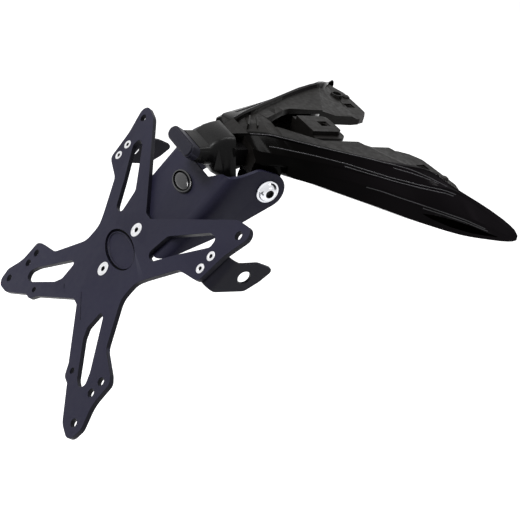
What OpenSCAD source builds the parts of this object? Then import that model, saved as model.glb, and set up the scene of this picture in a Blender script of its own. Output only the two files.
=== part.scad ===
/* [Mounting lugs] */
// Side to side spacing of the two front lug holes
lug_spacing = 114; // [108:1:118]
// Radius of the round hole in each lug
lug_hole_r = 3.2; // [2.7:0.1:3.6]
// Side of the square nut seat sunk into each lug's top
lug_seat = 8.4; // [7.6:0.1:9.4]
// Depth of the square nut seat
lug_seat_d = 1.2; // [1:0.1:2]
// Thickness of the mounting lugs
lug_t = 5.5; // [4.5:0.5:7]
// Distance from the front lug holes back to the centre lug's hole
centre_lug_back = 61.8; // [60:0.2:64]
// Height of the centre lug's top above the front nut seats
centre_lug_rise = 9.6; // [8.6:0.1:10.4]
// Width of the centre lug's raised top across the bike
centre_lug_w = 28; // [26:1:32]
// Width of the flange around that top
centre_flange_w = 39; // [36:1:44]
// Length of the centre lug along the bike
centre_lug_l = 27; // [24:1:30]
// Radius of the locating hole beside each front lug
boss_hole_r = 3.9; // [3:0.1:4.2]

/* [Undertail shell] */
// Wall thickness of the moulded shell
shell_wall = 3; // [2.4:0.1:3.6]
// Thickness of the shell's rear wall behind the light
rear_wall = 4; // [3:0.5:6]
// Half width of the deck opening where it runs straight
opening_half_w = 28.5; // [26:0.5:31]
// Depth of the deck below the rim that runs around it
deck_drop = 3; // [2:0.5:4]
// Step height of the creases that run along each side
crease_step = 0.8; // [0.3:0.1:1.2]

/* [Pivot] */
// Pivot axis behind the front lug holes
pivot_back = 124.6; // [123:0.2:126]
// Pivot axis below the front nut seats
pivot_drop = 27; // [26:0.5:29]
// Radius of the pivot bolt's shank
pivot_r = 4; // [3:0.5:4]
// Radial running gap of the arm on the pivot bolt
pivot_gap = 0.05; // [0.02:0.01:0.09]
// Radius of the pivot bolt's flange
pivot_flange_r = 9; // [7.5:0.5:10]
// Length of the pivot bolt's shank
pivot_len = 22; // [16:1:24]
// Outer radius of the threaded insert in the boss
insert_r = 6; // [5:0.5:7]
// Length of the threaded insert
insert_len = 14; // [10:1:16]
// Radius of the boss that holds the insert
boss_r = 11.5; // [10:0.5:12]
// Thickness of the nylon washer between boss and arm
washer_t = 1; // [0.6:0.1:1.5]
// Side clearance where the arm swings on washer and flange
swing_gap = 0.05; // [0.02:0.01:0.1]

/* [Arm] */
// Outside width of the folded arm
arm_w = 84; // [80:1:88]
// Thickness of the arm's sheet
arm_t = 3; // [2:0.5:3.5]
// Outside radius of the arm's two folds
fold_r = 9; // [6:0.5:12]
// Lean of the number plate carrier from upright
lean = 32; // [30:1:34]
// Radius of the round eye about the pivot
eye_r = 14.5; // [13:0.5:15]
// Pivot height above the plate centre, along the plate
pivot_v = 108.6; // [106:0.2:110]
// Pivot distance in front of the plate's rear face
pivot_w = 37; // [36:0.5:38]
// Height of the notch in the arm's top edge above the plate centre
notch_v = 88; // [84:1:89]
// Half width of the flat foot of that notch
notch_half_w = 19; // [16:1:22]
// Height of the badge above the plate centre
badge_v = 71; // [68:1:74]
// Width of the oval badge
badge_w = 28; // [24:1:30]
// Height of the oval badge
badge_h = 15; // [12:1:18]
// Thickness of the badge
badge_t = 2; // [1.5:0.1:3]

/* [Plate carrier] */
// Thickness of the carrier plate
plate_t = 4; // [3.6:0.1:5]
// Half spacing of the upper outer holes
tip_hole_u = 93; // [91:0.5:95]
// Height of the upper outer holes above the centre
top_hole_v = 79; // [77:0.5:81]
// Drop of the lower outer holes below the centre
low_hole_v = 99.5; // [97.5:0.5:101]
// Radius of the outer holes
tip_hole_r = 3.2; // [2.5:0.1:3.6]
// Half spacing of the indicator bracket screws and of the lower pair holes
pair_u = 85.5; // [84:0.5:87]
// Heights of the two indicator bracket screws
pair_top_v = [43.3, 54.8];
// Drops of the lower pair holes
pair_low_v = [65.4, 76.6];
// Half spacing of the two lower ears
ear_u = 53.2; // [52:0.2:55]
// Drop of the two lower ears
ear_v = 82.6; // [81:0.2:84]
// Half spacing of the two arm screws
arm_screw_v = 20; // [19:0.5:21.5]
// Width of the oval recess in the middle
oval_w = 49; // [44:1:54]
// Height of the oval recess in the middle
oval_h = 25; // [20:0.5:26]
// Depth of the oval recess
oval_d = 0.8; // [0.4:0.1:1.4]

/* [Fasteners] */
// Shank radius of the two arm screws
big_screw_r = 3; // [2.5:0.1:3]
// Head radius of the two arm screws
big_head_r = 5.85; // [5.2:0.05:6]
// Shank radius of the bracket screws
small_screw_r = 2; // [1.5:0.1:2]
// Head radius of the bracket screws
small_head_r = 3.75; // [3.2:0.05:4]
// Radial clearance of a screw in its hole
screw_gap = 0.25; // [0.1:0.05:0.4]
// Radial clearance left where a nut or insert takes a screw
thread_gap = 0.05; // [0.02:0.01:0.1]

/* [Indicator brackets] */
// Distance from the middle to each bracket's outer face
ear_face_y = 98; // [96:0.5:102]
// Thickness of the bracket sheet
bracket_t = 2.5; // [2:0.1:3]
// Outside radius of the bracket's fold
bracket_fold_r = 7; // [5:0.5:9]
// Radius of the indicator stem's hole
stem_hole_r = 5; // [4:0.1:5.5]
// Height of that hole above the plate centre
stem_v = 57.5; // [56:0.5:59]
// Distance of that hole in front of the plate's rear face
stem_w = 25.5; // [24:0.5:27]

/* [Plate light] */
// Width of the light's capsule shaped body
light_w = 40; // [36:1:44]
// Height of the light's body
light_h = 11; // [10:0.5:12]
// Depth of the light's body
light_d = 7; // [7:0.5:9]
// Lean of the light's body from upright
light_lean = 27; // [24:1:30]
// Light body's rear face behind the pivot axis
light_back = 57; // [55:0.5:59]
// Light body's middle above the pivot axis
light_rise = 19.5; // [19:0.5:21]
// Width of the lens under the light
lens_w = 27; // [22:1:29]
// Depth of the lens under the light
lens_d = 4.4; // [3.6:0.2:5]
// Thickness of the lens
lens_t = 1.6; // [1.2:0.1:2]
// Clearance around the lens in its pocket
lens_gap = 0.15; // [0.05:0.05:0.3]

/* [Hidden] */

$fn = 64;
// A cut reaches this far past the face that it opens
over = 1;

gloss_black = [0.03, 0.03, 0.035];
satin_black = [0.10, 0.10, 0.11];
coat_black = [0.16, 0.16, 0.20];
bright_steel = [0.80, 0.80, 0.82];
brass_tone = [0.72, 0.58, 0.32];

// Where the two front lug holes and the pivot axis lie
lug_y = lug_spacing / 2;
pivot_x = -pivot_back;
pivot_z = -pivot_drop;

// Stack across the pivot, from the arm's outer face inwards
cheek_out = arm_w / 2;
cheek_in = cheek_out - arm_t;
washer_out = cheek_in - swing_gap;
boss_face = washer_out - washer_t;

// Corner rounding for outlines given as [x, y, radius]
function unit(v) = v / norm(v);
function corner(a, b, c, r) =
    let (ua = unit(a - b), uc = unit(c - b),
        half = acos(max(-1, min(1, ua * uc))) / 2,
        reach = min(r / tan(half), norm(a - b) * 0.49, norm(c - b) * 0.49),
        rr = reach * tan(half),
        mid = b + unit(ua + uc) * rr / sin(half),
        p = b + ua * reach,
        q = b + uc * reach,
        steps = max(2, ceil((90 - half) * 2 / 12)))
    rr < 0.05 || half > 89 ? [b]
    : [for (i = [0 : steps])
        let (sweep = (90 - half) * 2 * (side_of(p - mid, q - mid) < 0 ? -1 : 1))
        mid + turn(p - mid, sweep * i / steps)];
function side_of(a, b) = a[0] * b[1] - a[1] * b[0];
function turn(v, a) = [v[0] * cos(a) - v[1] * sin(a), v[0] * sin(a) + v[1] * cos(a)];
function xy(p) = [p[0], p[1]];
function rounded(pts) =
    let (n = len(pts))
    [for (i = [0 : n - 1])
        for (q = corner(xy(pts[(i + n - 1) % n]), xy(pts[i]), xy(pts[(i + 1) % n]), pts[i][2])) q];
function mirrored(pts) = concat(pts, [for (i = [len(pts) - 1 : -1 : 0]) [-pts[i][0], pts[i][1], pts[i][2]]]);
function oval(w, h, n = 48) = [for (i = [0 : n - 1]) [w / 2 * cos(i * 360 / n), h / 2 * sin(i * 360 / n)]];

// Loft through rings of equal length, one solid with flat ends
module loft(rings) {
    n = len(rings[0]);
    m = len(rings);
    points = [for (ring = rings) for (p = ring) p];
    sides = [for (j = [0 : m - 2]) for (i = [0 : n - 1])
        for (t = [[j * n + i, j * n + (i + 1) % n, (j + 1) * n + i],
                  [j * n + (i + 1) % n, (j + 1) * n + (i + 1) % n, (j + 1) * n + i]]) t];
    // Ends of mirrored rings are built of strips from side to side, others of one face
    last = (m - 1) * n;
    strips = n % 2 == 0 ? [for (i = [0 : n / 2 - 2]) for (q = [[n - 1 - i, n - 2 - i, i + 1, i],
        [last + i, last + i + 1, last + n - 2 - i, last + n - 1 - i]]) q] : [];
    whole = [[for (i = [n - 1 : -1 : 0]) i], [for (i = [0 : n - 1]) last + i]];
    ends = n % 2 == 0 ? strips : whole;
    polyhedron(points, concat(sides, ends), convexity = 10);
}

// Cylinder whose axis runs across the bike, from y0 towards y1
module across(y0, y1, r) {
    translate([0, min(y0, y1), 0]) rotate([-90, 0, 0]) cylinder(r = r, h = abs(y1 - y0));
}

// The plate's own frame: x forward from its rear face, y left, z up along the plate
module on_plate() {
    translate([pivot_x, 0, pivot_z]) rotate([0, lean, 0]) translate([-pivot_w, 0, -pivot_v]) children();
}

// Flat sheet in the plate's frame, from x0 forward by t, with the outline in [right, up]
module sheet(outline, x0, t) {
    translate([x0, 0, 0]) rotate([90, 0, 90]) linear_extrude(t) mirror([1, 0]) polygon(outline);
}

// Countersunk screw along +x with its head's face at x = 0
module countersunk(r, head_r, length, socket_r, gap = 0) {
    depth = head_r - r;
    rotate([0, 90, 0]) difference() {
        union() {
            cylinder(r1 = head_r + gap, r2 = r + gap, h = depth);
            cylinder(r = r + gap, h = length);
        }
        if (socket_r > 0) translate([0, 0, -over]) cylinder(r = socket_r, h = depth * 0.8 + over, $fn = 6);
    }
}

// Hexagon nut along +x from x = 0
module hex_nut(flat, h, r) {
    rotate([0, 90, 0]) difference() {
        cylinder(r = flat / sqrt(3), h = h, $fn = 6);
        translate([0, 0, -over]) cylinder(r = r + thread_gap, h = h + 2 * over);
    }
}

// Undertail shell

// Side lines of the shell as [along, out, up], from the rear end to the wing's tip
ridge = [[-145, 7.5, 3], [-137, 12, 5.6], [-120.6, 21, 9.1], [-85.6, 44, 10], [-47.6, 68, 11], [-25.6, 78, 12.1],
    [-16.6, 80.5, 11.4], [2.4, 100, 4.5], [20.4, 121, -1.5], [33.4, 136, -8.5], [36.4, 139, -12.5]];
shoulder = [[-137, 31.3, 0.6], [-120.6, 39, 1], [-85.6, 56, 2], [-53.6, 72, 2.5], [-28.6, 87, 3.5],
    [-9.6, 98, 5], [2.4, 103, 2.7], [20.4, 124, -4.5], [33.4, 137.5, -11.5], [36.4, 139.3, -13.1]];
waist = [[-137, 38.5, -6.1], [-117.6, 41, -6.5], [-85.6, 62, -6.1], [-53.6, 81, -6.1], [-28.6, 98, -7.5],
    [2.4, 118.5, -10], [20.4, 130, -13.5], [33.4, 138.4, -15], [36.4, 139.6, -14.9]];
// Beside the arm the hem keeps clear of the arm's cheeks
hem_in = cheek_in - 1.2;
hem = [[-137, hem_in - 0.4, -8.5], [-117.6, hem_in, -8.7], [-112.7, hem_in, -8.9], [-112.5, 44, -13],
    [-107.6, 47, -14], [-96.6, 56, -13.5], [-85.6, 62.6, -15], [-53.6, 83, -18.5], [-28.6, 99, -21.5],
    [0.4, 117, -23.5], [20.4, 130.4, -21], [33.4, 138.6, -18], [36.4, 139.8, -16.3]];
// Lengthwise places of the shell
tip_rear = -145;
shell_rear = -137;
wing_tip = 36.4;
boss_zone = -112.6;

// Smooth curve through the points of a line, which never overshoots them
function grade(line, i, k) = (line[i + 1][k] - line[i][k]) / (line[i + 1][0] - line[i][0]);
function tangent(line, i, k) = i == 0 ? grade(line, 0, k) : i == len(line) - 1 ? grade(line, i - 1, k)
    : let (a = grade(line, i - 1, k), b = grade(line, i, k)) a * b <= 0 ? 0 : 2 * a * b / (a + b);
function along(line, x, k, i = 0) =
    i < len(line) - 2 && x > line[i + 1][0] ? along(line, x, k, i + 1)
    : let (h = line[i + 1][0] - line[i][0], t = max(0, min(1, (x - line[i][0]) / h)), u = 1 - t)
        (1 + 2 * t) * u * u * line[i][k] + t * u * u * h * tangent(line, i, k)
        + t * t * (3 - 2 * t) * line[i + 1][k] - t * t * u * h * tangent(line, i + 1, k);
function out_at(line, x) = along(line, x, 1);
function up_at(line, x) = along(line, x, 2);
function at(line, x) = [out_at(line, x), up_at(line, x)];
// How far the outline draws in where the rear end rounds over
function draw_in(x) = lookup(x, [[shell_rear, 3], [shell_rear + 1.2, 1.2], [shell_rear + 4, 0]]);
// Corner where side turns into floor: tucked under the hem, and deeper where the pivot bosses hang
function floor_corner(x) = at(hem, x) - (x < boss_zone ? [2, 10] : [14, 5]);

// Full section of a half outline given as [out, up] points from the top down
function both_sides(x, half) = concat([for (p = half) [x, p[0], p[1]]],
    [for (i = [len(half) - 1 : -1 : 0]) [x, -half[i][0], half[i][1]]]);
// Share of the full step height that the creases keep where the section grows thin
function fade(x) = min(1, (up_at(ridge, x) - up_at(hem, x)) / 20);
function skin_ring(x) =
    let (k = draw_in(x), f = fade(x), step = crease_step * f, a = at(ridge, x) - [0, k / 3],
        b = at(shoulder, x) - [k, 0], c = at(waist, x) - [k, 0], d = at(hem, x) - [k, 0])
    both_sides(x, [a, a + f * [0.8, -1.4], b + [-0.6 * f, step], b,
        b - [0, step], c + [0, 2 * f], c, c - [0, step], d, floor_corner(x) - [k, 0]]);
function hollow_ring(x) =
    let (w = shell_wall)
    both_sides(x, [at(ridge, x) - [rim_w + 1, deck_drop + w], at(shoulder, x) - [w, w * 0.8],
        at(waist, x) - [w, 0], at(hem, x) + [-w, w * (x < boss_zone ? 0.1 : 0.8)], floor_corner(x) + [-1, w]]);
// Section of the channel between the rim and the edge of the deck's opening, on the left side
rim_w = 3.4;
edge_line = [[-136, -0.5, 4.6], [-124, -0.5, 8.4], [-110, -0.5, 9.9], [-109, 6.6, 9.9],
    [-86.6, opening_half_w - 5.5, 9.2], [-78, opening_half_w - 1, 8.8], [-46, opening_half_w - 1, 8.4],
    [-20, opening_half_w - 1, 8.4]];
function deck_ring(x) = let (a = at(ridge, x), y = lookup(x, [for (p = edge_line) [p[0], p[1]]]),
        z = lookup(x, [for (p = edge_line) [p[0], p[2]]]))
    [for (p = [a + [1 - rim_w, 4], a - [rim_w, deck_drop], [y, z], [y, a[1] + 4]]) [x, p[0], p[1]]];
// Section of the pocket under a wing, open at its foot
function pocket_ring(x) =
    let (w = shell_wall, a = at(ridge, x), b = at(shoulder, x), c = at(waist, x), d = at(hem, x))
    [for (p = [[a[0] + w * 0.9, d[1] - 12], [a[0] + w * 0.9, (a[1] + b[1]) / 2 - w * 1.3],
        b + [w * 0.1, -w * 1.35], c - [w, w * 0.2], d - [w, 12]]) [x, p[0], p[1]]];
// Section of the shallow crescent pressed into the side between waist and hem
crescent = [[-25, 0.05, 0.5, 0.5], [-18, 0.7, 0.38, 0.62], [-6, 1.3, 0.3, 0.72], [8, 1.3, 0.3, 0.74],
    [18, 0.7, 0.4, 0.66], [24, 0.05, 0.5, 0.56]];
function crescent_ring(row) =
    let (x = row[0], c = at(waist, x), d = at(hem, x), hi = c + (d - c) * (row[2] - 0.02), lo = c + (d - c) * row[3])
    [for (p = [hi + [3, 0], lo + [3, 0], lo - [row[1], 0], hi - [row[1], 0]]) [x, p[0], p[1]]];

skin_stations = [-137, -135.8, -133, -129, -124, -118, -112.7, -112.5, -107.6, -102, -96.6, -90, -82, -74, -64,
    -54, -44, -34, -26, -20, -15, -10, -4, 2.4, 8, 14, 20.4, 27, 31, 34, 36.4];
hollow_stations = [shell_rear + rear_wall, -129, -124, -118, -112.7, -112.5, -107.6, -102, -96.6, -90, -82, -74,
    -64, -54, -44, -34, -26, -22];
deck_stations = [-135.5, -130, -124, -117, -110, -109, -98, -85.6, -74, -60, -47.6, -36, -26, -20];

// Plan of the opening in the deck, from its narrow rear end to the front
deck_half = [[-109.6, 7.4], [-86.6, opening_half_w - 4.5], [-78, opening_half_w]];
deck_front = [[-46, opening_half_w], [-32.5, 57], [-22, 77.5]];
// Plan of the gap between the wings, along the inside of each ridge
ridge_wall = 0.8;
gap_stations = [-16, -10, -4, 2.4, 8, 14, 20.4, 27, 31, 34, wing_tip];
gap_side = concat(deck_half, deck_front, [for (x = gap_stations) [x, out_at(ridge, x) - ridge_wall]],
    [[wing_tip + 2, out_at(ridge, wing_tip) + 2 - ridge_wall]]);
gap_from = len(deck_half);
function closed(side) = concat(side, [for (i = [len(side) - 1 : -1 : 0]) [side[i][0], -side[i][1]]]);

module shell_skin() {
    difference() {
        loft([for (x = skin_stations) skin_ring(x)]);
        loft([for (x = hollow_stations) hollow_ring(x)]);
        translate([0, 0, -4]) linear_extrude(25) polygon(closed(gap_side));
        translate([0, 0, -60]) linear_extrude(90)
            polygon(closed([for (i = [gap_from : len(gap_side) - 1]) gap_side[i]]));
        for (s = [0, 1]) mirror([0, s, 0]) {
            loft([for (x = deck_stations) deck_ring(x)]);
            loft([for (x = [-17, -12, -6, 0, 6, 11, 16]) pocket_ring(x)]);
            loft([for (row = crescent) crescent_ring(row)]);
        }
    }
}

// Narrow rear end of the deck, which overhangs the light's neck
module deck_tip() {
    half = function (x) at(ridge, x);
    loft([for (x = [tip_rear, -141, shell_rear + 2])
        both_sides(x, [half(x), half(x) - [0, 2.6]])]);
    // Small ribs in the deck's rear corner
    for (r = [[[-131, -4], [-122, 12]], [[-124, -6], [-117, 10]]]) {
        run = r[1] - r[0];
        translate([r[0][0], r[0][1], 3]) rotate([0, 0, atan2(run[1], run[0])])
            translate([0, -0.6, 0]) cube([norm(run), 1.2, 6.4]);
    }
}

// Facet that falls from the deck's front edge to the lug, with a wall along its inner edge
module deck_slope() {
    side_ring = function (pts, t) concat([for (p = pts) [p[0], p[1], p[2] - t]],
        [for (i = [len(pts) - 1 : -1 : 0]) pts[i]]);
    inner = [[-47.5, 7.8], [-31.5, 4], [-15, 3.8], [-7, 0.4]];
    w = opening_half_w;
    loft([side_ring([for (p = inner) [p[0], w, p[1]]], 8),
        side_ring([for (p = inner) [p[0] + 1.2, w + 2.6, p[1]]], 8),
        side_ring([for (p = inner) [p[0] + 1.3, w + 2.7, p[1]]], 3),
        side_ring([[-33.8, 57, 8.5], [-22, 57, 5], [-12, 57, 2.6], [-4, 57, 0.4]], 3),
        side_ring([[-23.5, 77, 9], [-15, 82.5, 6.5], [-5, 91, 3], [3, 100.9, 1]], 3)]);
}

// Front lug with its square nut seat, and the locating hole and stud beside it
lug_top = lug_seat_d;
module lug_tab() {
    translate([0, 0, lug_top - lug_t]) linear_extrude(lug_t)
        polygon(rounded([[-15, opening_half_w + 0.5, 0], [-6, opening_half_w + 1, 3], [2, opening_half_w + 6, 4],
            [lug_y - 48.5, lug_y - 13, 6], [lug_y - 47.5, lug_y - 2, 10], [11.5, lug_y + 28, 6], [6, lug_y + 45, 0],
            [0, lug_y + 41, 0], [-5, lug_y, 0]]));
}

// Square seat sunk into a lug's top at height z, over a round hole
module nut_seat(z, t) {
    translate([-lug_seat / 2, -lug_seat / 2, z - lug_seat_d]) cube([lug_seat, lug_seat, lug_seat_d + over]);
    translate([0, 0, z - t - over]) cylinder(r = lug_hole_r, h = t + 2 * over);
}

boss_x = -3;
boss_out = 18;
boss_top = 3.2;
module shell_bosses() {
    translate([boss_x, lug_y + boss_out, lug_top - lug_t + 1]) cylinder(r = boss_hole_r + 1.3, h = lug_t + boss_top - 1);
    translate([boss_x + 10.5, lug_y + boss_out + 0.5, lug_top - lug_t + 1]) {
        cylinder(r = 3.6, h = lug_t - 0.4);
        translate([0, 0, lug_t - 0.4]) cylinder(r1 = 3.6, r2 = 2.2, h = 1);
    }
}

// Raised top of the centre lug, the flange around it and the walls that stand on the floor
centre_t = 6;
module centre_lug() {
    top = centre_lug_rise;
    floor_z = floor_corner(-70)[1];
    hole_x = -centre_lug_back;
    rear_x = hole_x - centre_lug_l * 0.64;
    front_x = rear_x + centre_lug_l;
    plan = function (x, w, r) rounded([[rear_x, w / 2, 0], [x, w / 2, r], [x, -w / 2, r], [rear_x, -w / 2, 0]]);
    translate([0, 0, top - centre_t]) linear_extrude(centre_t) polygon(plan(front_x, centre_lug_w, 5));
    translate([0, 0, top - centre_t]) linear_extrude(centre_t - 3.4)
        polygon(plan(front_x + 2.5, centre_flange_w, 8));
    translate([rear_x, 1 - centre_flange_w / 2, floor_z + 1])
        cube([shell_wall, centre_flange_w - 2, top - floor_z - 4.5]);
    for (s = [-1, 1])
        translate([rear_x + 1, s * (centre_flange_w / 2 - shell_wall) - shell_wall / 2, floor_z + 1])
            cube([centre_lug_l * 0.6, shell_wall, top - floor_z - 4.5]);
}

module pivot_boss() {
    boss_in = boss_face - 24;
    half_w = boss_r * 0.97;
    translate([pivot_x, 0, pivot_z]) across(boss_in, boss_face, boss_r);
    translate([pivot_x - half_w, boss_in + 0.5, pivot_z])
        cube([2 * half_w, boss_face - boss_in - 1, floor_corner(pivot_x)[1] + 1.5 - pivot_z]);
}

screw_x = shell_rear + rear_wall;
housing_screw_y = 12;
housing_screw_z = -8;

module undertail_shell() {
    color(gloss_black) difference() {
        union() {
            shell_skin();
            deck_tip();
            for (s = [0, 1]) mirror([0, s, 0]) {
                deck_slope();
                lug_tab();
                shell_bosses();
                pivot_boss();
            }
            centre_lug();
        }
        for (s = [-1, 1]) {
            translate([0, s * lug_y, 0]) nut_seat(lug_top, lug_t);
            translate([boss_x, s * (lug_y + boss_out), lug_top - lug_t - over - 2])
                cylinder(r = boss_hole_r, h = lug_t + boss_top + 4);
            translate([pivot_x, 0, pivot_z]) {
                across(s * (boss_face - insert_len), s * (boss_face + over), insert_r);
                across(s * (boss_face - 23), s * boss_face, pivot_r + 0.5);
            }
            translate([shell_rear - over, s * housing_screw_y, housing_screw_z])
                rotate([0, 90, 0]) cylinder(r = small_screw_r + screw_gap, h = rear_wall + 2 * over + 1);
        }
        translate([-centre_lug_back, 0, 0]) nut_seat(centre_lug_rise, centre_t);
    }
}

// Plate light

// Rounded section of the housing at x, leaning like the light at the rear
function neck_ring(x, top, foot, half_top, half_foot, r, slant) =
    let (mid = (top + foot) / 2,
        half = concat([for (a = [90 : -18 : 0]) [half_top - r + r * cos(a), top - r + r * sin(a)]],
            [for (a = [0 : -18 : -90]) [half_foot - r + r * cos(a), foot + r + r * sin(a)]]))
    [for (p = both_sides(x, half)) [p[0] + (p[2] - mid) * tan(slant), p[1], p[2]]];

light_x = pivot_x - light_back;
light_z = pivot_z + light_rise;
// The light's own frame: x forward from its rear face, z up along it
module on_light() {
    translate([light_x, 0, light_z]) rotate([0, light_lean, 0]) children();
}

neck_x = light_x + light_d * cos(light_lean);
neck_z = light_z - light_d * sin(light_lean);
neck_w = light_w / 2;
// The neck stops short of the deck's tip, and a narrower foot reaches the shell's rear wall
neck_end = tip_rear - 0.8;
module light_housing() {
    color(satin_black) difference() {
        union() {
            loft([neck_ring(neck_x - 0.6, neck_z + 5.2, neck_z - 5.2, neck_w - 2.2, neck_w - 2.2, 4, light_lean),
                neck_ring(neck_x + 4.5, neck_z + 5.6, neck_z - 6.6, neck_w - 3, neck_w - 1.6, 4, light_lean * 0.7),
                neck_ring(neck_x + 10, neck_z + 6.2, neck_z - 8.6, neck_w - 3.4, neck_w - 2.4, 4.5, light_lean * 0.3),
                neck_ring(neck_x + 13.4, neck_z + 8.4, neck_z - 9.4, neck_w - 3.3, neck_w - 3, 4.5, 0),
                neck_ring(neck_x + 16.8, neck_z + 11, neck_z - 15.6, neck_w - 3, neck_w - 3, 5, 0),
                neck_ring(neck_x + 22, neck_z + 13.2, neck_z - 17.2, neck_w - 2.5, neck_w + 3, 6, 0),
                neck_ring(neck_x + 26, neck_z + 14, neck_z - 18, neck_w - 2, neck_w + 6.6, 6, 0),
                neck_ring(neck_end, neck_z + 14.2, neck_z - 18.4, neck_w - 1.5, neck_w + 10, 6, 0)]);
            translate([neck_end - 2, -neck_w - 2, neck_z - 5.6])
                cube([shell_rear - neck_end + 2, 2 * neck_w + 4, 13.4]);
        }
        for (s = [-1, 1])
            translate([shell_rear - 9, s * housing_screw_y, housing_screw_z])
                rotate([0, 90, 0]) cylinder(r = small_screw_r + thread_gap, h = 9 + over);
        on_light() translate([light_d - 2, 0, 0]) cube([4, light_w * 2, light_h * 2], center = true);
    }
}

pocket_d = lens_d + 2 * lens_gap;
pocket_w = lens_w + 2 * lens_gap;
pocket_h = 6;
lens_x = light_d / 2 + 0.4;
module capsule(w, h, d) {
    rotate([0, 90, 0]) for (s = [-1, 1]) translate([0, s * (w - h) / 2, 0]) cylinder(r = h / 2, h = d);
    translate([0, -(w - h) / 2, -h / 2]) cube([d, w - h, h]);
}

module light_body() {
    color(coat_black) difference() {
        on_light() difference() {
            union() {
                capsule(light_w, light_h, light_d);
                translate([-1.2, 0, 0]) capsule(light_w - 2, light_h - 2, 2);
            }
            translate([lens_x - pocket_d / 2, -pocket_w / 2, -light_h / 2 - over])
                cube([pocket_d, pocket_w, pocket_h + over]);
        }
    }
}

module light_lens() {
    color([0.7, 0.72, 0.75, 0.6]) on_light()
        translate([lens_x - lens_d / 2, -lens_w / 2, -light_h / 2]) cube([lens_d, lens_w, lens_t]);
}

module light_board() {
    color([0.1, 0.35, 0.2]) on_light() {
        translate([lens_x - lens_d / 2, -lens_w / 2, -light_h / 2 + pocket_h - 1.2])
            cube([lens_d, lens_w, 1.2]);
        for (i = [-1 : 1])
            translate([lens_x - 1.4, i * 8 - 1.4, -light_h / 2 + pocket_h - 2.2]) cube([2.8, 2.8, 1.01]);
    }
}

module housing_screw(s) {
    color(bright_steel) translate([screw_x, s * housing_screw_y, housing_screw_z]) rotate([0, 180, 0]) {
        rotate([0, 90, 0]) cylinder(r = small_screw_r, h = rear_wall + 8);
        rotate([0, -90, 0]) difference() {
            cylinder(r = small_head_r, h = 3);
            translate([0, 0, 1.2]) cylinder(r = small_screw_r * 0.8, h = 3, $fn = 6);
        }
    }
}

// Arm and what it carries, in the plate's frame

// Point where a line from p touches the circle of radius r about c, on the left of the way to c
function touch(p, c, r, side) =
    let (d = norm(c - p), a = asin(r / d))
    p + turn(unit(c - p), side * a) * sqrt(d * d - r * r);

eye_c = [pivot_w, pivot_v];
// Side of the arm as [forward, up]
arm_back = plate_t;
lower_bend = [29.2, 57.5];
upper_bend = [19.5, 118];
module arm_profile() {
    lower = touch(lower_bend, eye_c, eye_r, -1);
    upper = touch(upper_bend, eye_c, eye_r, 1);
    polygon(concat([eye_c], [lower], rounded([[lower[0], lower[1], 0], [lower_bend[0], lower_bend[1], 60],
        [arm_back - over, 17, 0], [arm_back - over, pivot_v - 11.5, 0], [arm_back + 2.5, pivot_v - 9, 6],
        [upper_bend[0], upper_bend[1], 12], [upper[0], upper[1], 0]]), [upper]));
    translate(eye_c) circle(r = eye_r, $fn = 96);
}

foot_half_w = 28;
foot_v = arm_screw_v + 13;
// Rear face of the arm as [right, up], with the notch under the light
arm_face = mirrored([[notch_half_w, notch_v, 6], [notch_half_w + 11, notch_v + 9.5, 8],
    [cheek_out - 6, notch_v + 11, 4], [cheek_out - 3, notch_v + 32, 0], [cheek_out + over, notch_v + 40, 0],
    [cheek_out + over, 10, 0], [foot_half_w, 8, 6], [foot_half_w, -foot_v, 6]]);

module arm_bracket() {
    inner = fold_r - arm_t;
    ring_out = rounded([[arm_back, cheek_out, fold_r], [arm_back, -cheek_out, fold_r],
        [90, -cheek_out, 0], [90, cheek_out, 0]]);
    ring_in = rounded([[arm_back + arm_t, cheek_in, inner], [arm_back + arm_t, -cheek_in, inner],
        [100, -cheek_in, 0], [100, cheek_in, 0]]);
    color(coat_black) on_plate() difference() {
        intersection() {
            translate([0, 0, -60]) linear_extrude(200) difference() {
                polygon(ring_out);
                polygon(ring_in);
            }
            union() {
                translate([0, cheek_out + over, 0]) rotate([90, 0, 0]) linear_extrude(arm_w + 2 * over) arm_profile();
                translate([arm_back - over, -foot_half_w - over, -60])
                    cube([arm_t + over + 0.01, 2 * foot_half_w + 2 * over, 100]);
            }
            sheet(rounded(arm_face), 0, 100);
        }
        for (s = [-1, 1]) {
            translate([pivot_w, 0, pivot_v])
                across(s * (cheek_in - over), s * (cheek_out + over), pivot_r + pivot_gap);
            translate([arm_back - over, 0, s * arm_screw_v]) rotate([0, 90, 0])
                cylinder(r = big_screw_r + screw_gap, h = arm_t + 2 * over);
        }
    }
}

module arm_badge() {
    color(satin_black) on_plate() {
        translate([0, 0, badge_v]) sheet(oval(badge_w, badge_h), arm_back - badge_t * 0.6, badge_t * 0.6);
        translate([0, 0, badge_v]) sheet(oval(badge_w - 3, badge_h - 3), arm_back - badge_t, badge_t * 0.41);
    }
}

// Right half of the carrier's outline as [right, up, corner radius], from the top middle down
carrier_half = [[4.5, 34.2, 4], [82, 86, 14], [tip_hole_u + 12.4, top_hole_v + 11.2, 9.3],
    [95.5, 62, 22], [pair_u + 7, 37, 5], [pair_u + 2, 34.8, 4], [68.5, 29.6, 10], [47.8, 4.8, 20],
    [41.5, -4, 14], [41.5, -20, 14], [66, -49.8, 12], [pair_u + 3, -56.4, 8], [pair_u + 9, -60, 5],
    [95, -80, 24], [tip_hole_u + 10.5, -low_hole_v + 3, 7], [tip_hole_u + 8.5, -low_hole_v - 11.5, 9],
    [84, -108.5, 14], [58, -91, 3], [ear_u - 2.7, -ear_v - 8, 6.5], [ear_u - 9.2, -ear_v, 5], [4, -54.2, 4]];
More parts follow.
